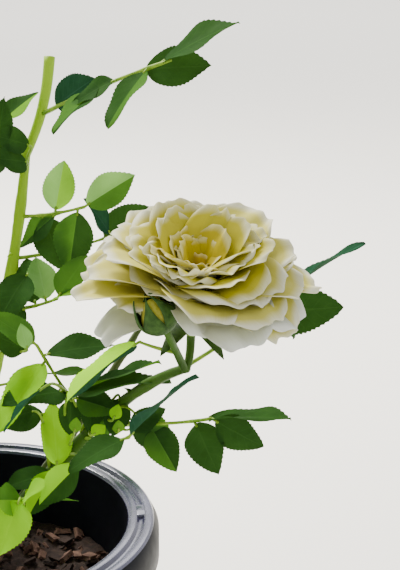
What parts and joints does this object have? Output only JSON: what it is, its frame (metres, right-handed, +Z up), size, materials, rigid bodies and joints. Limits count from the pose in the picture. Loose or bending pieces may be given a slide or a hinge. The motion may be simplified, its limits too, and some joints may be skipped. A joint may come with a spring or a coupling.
{
  "type": "potted rose bush",
  "caption": "Small rose bush in a black plastic pot: green canes, compound leaves, one large pale yellow double bloom on a side cane with a bud beside it, and a pruned cane.",
  "frame": {"origin": "centre of the pot's flat underside", "axes": "+Z up, +X towards the side that the bloom leans to and -Y towards its front"},
  "size_m": [0.277, 0.2283, 0.3425],
  "materials": {
    "pot": "gloss",
    "soil": "matte",
    "old_cane": "matte",
    "green_cane": "satin",
    "leaf": "satin",
    "petal": "matte",
    "sepal": "matte"
  },
  "bodies": {
    "root": {"pot": "pot", "soil": "soil", "rose_crown": "old_cane", "left_front_cane": "old_cane", "left_cane": "old_cane", "back_left_cane": "old_cane", "back_cane": "old_cane", "back_right_cane": "old_cane", "front_cane": "old_cane", "centre_cane": "old_cane", "bloom_cane": "green_cane", "cut_cane": "green_cane", "cut_cane_top": "green_cane", "bloom_stalk": "green_cane", "bud_stalk": "green_cane", "lower_right_leaf": "leaf", "edge_on_leaf": "leaf", "upper_left_leaf": "leaf", "low_front_leaf": "leaf", "low_left_leaf": "leaf", "mid_left_leaf": "leaf", "behind_bloom_leaf": "leaf", "mid_right_leaf": "leaf", "top_right_leaf": "leaf", "far_left_leaf": "leaf", "far_left_top_leaf": "leaf", "right_of_bloom_leaf": "leaf", "bud_bract_leaf": "leaf", "centre_tip_spray": "leaf", "left_tip_spray": "leaf", "left_front_tip_spray": "leaf", "back_left_tip_spray": "leaf", "back_tip_spray": "leaf", "front_tip_spray": "leaf", "back_right_tip_spray": "leaf", "centre_left_spray": "leaf", "centre_back_spray": "leaf", "left_front_side_spray": "leaf", "left_side_spray": "leaf", "left_low_spray": "leaf", "left_front_low_spray": "leaf", "front_low_spray": "leaf", "back_left_low_spray": "leaf", "back_low_spray": "leaf", "back_right_low_spray": "leaf", "bloom": "petal", "bud": "sepal"}
  },
  "joints": []
}
